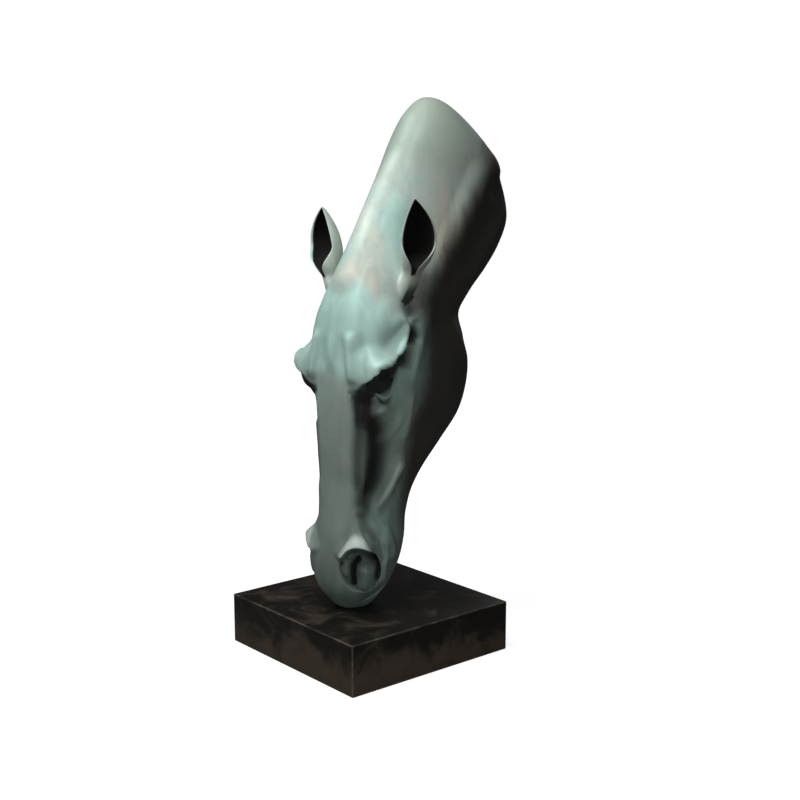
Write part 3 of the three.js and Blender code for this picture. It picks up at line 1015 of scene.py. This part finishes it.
# partly painted light: the sides turn browner and paler below the top, also the stone's own brown clouds
under_top = stone.spread(stone.height(), 0.09, 0.0, 0.0, 0.22)
colour = stone.mix(stone.spread(mottle + under_top, 0.46, 0.75), STONE_DARK, STONE_BROWN)
colour = stone.mix(stone.spread(specks, 0.6, 0.8, 0, 0.35), colour, STONE_BROWN)
rubbed = stone.node("ShaderNodeAttribute", {"attribute_name": "rubbed"}, {}, "Fac")
colour = stone.mix(rubbed * stone.spread(mottle, 0.35, 0.6, 0.15, 0.75), colour, STONE_RUBBED)
bump = stone.node("ShaderNodeBump", {}, {"Strength": 0.15, "Distance": 0.0006, "Height": specks + mottle})
stone.finish(
    plinth,
    Base_Color=colour,
    Roughness=stone.spread(mottle, 0.3, 0.75, 0.34, 0.52),
    Specular_IOR_Level=0.3,
    Normal=bump,
)
print("stone", len(stone.tree.nodes), "nodes")

# %% [markdown]
# The studio is a pale floor that goes on past the picture, with a white room behind it. One large soft
# light stands high on the left of the camera, so the face is lit, and the cheek and the neck turn into
# shadow. A second one in front lights the low part of the face. Weak ones keep the neck's edge, the back
# and the stone from going black.

# %% Studio floor
FLOOR_SIZE = 60.0
FLOOR_GLOW = (0.88, 1.02)  # near the plinth, and far from it
GLOW_RANGE = (0.3, 2.0)  # metres from the plinth over which it changes
WHITE = (1, 1, 1, 1)
FLOOR_LIT = (0.5, 0.5, 0.5, 1)
FLOOR_BOUNCE = (0.16, 0.16, 0.16, 1)

floor_bm = bmesh.new()
bmesh.ops.create_grid(floor_bm, x_segments=1, y_segments=1, size=FLOOR_SIZE / 2)
floor = as_object(floor_bm, "floor")
paper = Finish("white_paper")
seen = paper.node("ShaderNodeLightPath", output="Is Camera Ray")
away = paper.node("ShaderNodeVectorMath", {"operation": "LENGTH"}, {0: paper.place()}, "Value")
strength = paper.spread(away, *GLOW_RANGE, *FLOOR_GLOW)
glow = paper.node("ShaderNodeEmission", {}, {"Color": WHITE, "Strength": strength})
lit = paper.node("ShaderNodeBsdfDiffuse", {}, {"Color": FLOOR_LIT})
both = paper.node("ShaderNodeAddShader", {}, {0: glow, 1: lit})
bounce = paper.node("ShaderNodeBsdfDiffuse", {}, {"Color": FLOOR_BOUNCE})
paper.node_out(paper.node("ShaderNodeMixShader", {}, {0: seen, 1: bounce, 2: both}))
floor.data.materials.append(paper.material)
print("floor", FLOOR_SIZE, "m")

# %% Studio lights
LIGHTS = [
    # name, place, aim, size, power, and how wide the beam is in degrees
    ("key", (0.06, -0.76, 2.0), (0, 0.05, 0.72), 1.0, 30, 180),
    ("front", (-0.6, -2.4, 0.8), (0, 0, 0.4), 1.2, 5.3, 180),
    ("neck", (1.5, -0.5, 1.3), (0.08, 0.30, 0.84), 0.5, 0.15, 40),
    ("back", (-1.0, 2.4, 1.5), (0, 0.1, 0.5), 1.2, 3, 180),
    ("fill", (2.3, -1.0, 0.3), (0, 0, 0.1), 0.8, 0.7, 30),
]
ROOM_GLOW = (0.05, 1.05)  # how bright the room is for the pieces, and for the camera


def softbox(name, place, aim, size, power, beam):
    """A square area light aimed at a place."""
    light = bpy.data.lights.new(name, "AREA")
    light.shape = "SQUARE"
    light.size = size
    light.energy = power
    light.spread = math.radians(beam)
    lamp = bpy.data.objects.new(name, light)
    lamp.location = place
    lamp.rotation_euler = (Vector(aim) - Vector(place)).to_track_quat("-Z", "Y").to_euler()
    bpy.context.scene.collection.objects.link(lamp)


for light in LIGHTS:
    softbox(*light)

world = bpy.data.worlds.new("white_room")
bpy.context.scene.world = world
world.use_nodes = True
nodes = world.node_tree.nodes
background = nodes["Background"]
background.inputs["Color"].default_value = WHITE
camera_ray = nodes.new("ShaderNodeLightPath")
room = nodes.new("ShaderNodeMapRange")
room.inputs["To Min"].default_value, room.inputs["To Max"].default_value = ROOM_GLOW
world.node_tree.links.new(camera_ray.outputs["Is Camera Ray"], room.inputs["Value"])
world.node_tree.links.new(room.outputs["Result"], background.inputs["Strength"])
bpy.context.scene.view_settings.view_transform = "Standard"
print("studio lit by", len(LIGHTS), "lights")

# %% [markdown]
# Each finer piece rides on the part's root and stands in for its plain one. The sizes of both models are
# kept.

# %% Tie the pieces to the model
for piece, node, slot in ((head, "horse_head", "patinated_bronze"), (plinth, "plinth", "dark_stone")):
    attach(piece, "root")
    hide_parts(node)
